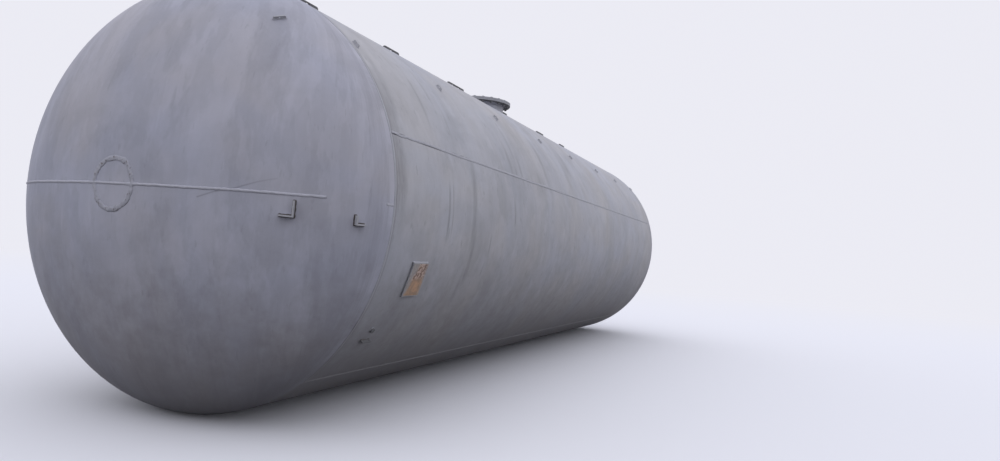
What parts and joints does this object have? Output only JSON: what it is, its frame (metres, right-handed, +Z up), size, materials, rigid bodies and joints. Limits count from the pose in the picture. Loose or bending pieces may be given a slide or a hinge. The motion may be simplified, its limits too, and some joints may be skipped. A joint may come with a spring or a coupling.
{
  "type": "horizontal pressure tank",
  "caption": "Horizontal welded steel pressure tank with dished ends, long shell plates, a bolted manway, a row of lugs along the crown and rows of small clips, lying on its belly.",
  "frame": {"origin": "on the floor, below the middle of the tank", "axes": "+X along the tank to its far end, +Z up; the side with the plate bracket faces -Y"},
  "size_m": [11.785, 3.405, 3.6285],
  "materials": {
    "shell_paint": "matt grey paint",
    "weld_paint": "matt grey paint over a rough bead",
    "flange_paint": "matt grey paint",
    "fitting_paint": "dark grey paint with rust",
    "gasket": "matt",
    "bare_plate": "dull and stained"
  },
  "bodies": {
    "root": {"near_head": "shell_paint", "far_head": "shell_paint", "crown_plate": "shell_paint", "rear_crown_plate": "shell_paint", "rear_side_plate": "shell_paint", "belly_plate": "shell_paint", "front_side_plate": "shell_paint", "manway_neck": "shell_paint", "manway_pad": "shell_paint", "near_lug_pad": "shell_paint", "second_lug_pad": "shell_paint", "third_lug_pad": "shell_paint", "fourth_lug_pad": "shell_paint", "fifth_lug_pad": "shell_paint", "far_lug_pad": "shell_paint", "near_girth_weld": "weld_paint", "far_girth_weld": "weld_paint", "front_upper_weld": "weld_paint", "crown_weld": "weld_paint", "rear_upper_weld": "weld_paint", "rear_lower_weld": "weld_paint", "front_lower_weld": "weld_paint", "near_head_weld": "weld_paint", "far_head_weld": "weld_paint", "near_pole_weld": "weld_paint", "far_pole_weld": "weld_paint", "manway_flange": "flange_paint", "manway_cover": "flange_paint", "near_lug": "fitting_paint", "second_lug": "fitting_paint", "third_lug": "fitting_paint", "fourth_lug": "fitting_paint", "fifth_lug": "fitting_paint", "far_lug": "fitting_paint", "front_clips": "fitting_paint", "rear_clips": "fitting_paint", "near_head_clip": "fitting_paint", "far_head_clip": "fitting_paint", "angle_brackets": "fitting_paint", "plate_bracket": "fitting_paint", "earthing_lug": "fitting_paint", "manway_gasket": "gasket", "bare_plate": "bare_plate"}
  },
  "joints": []
}
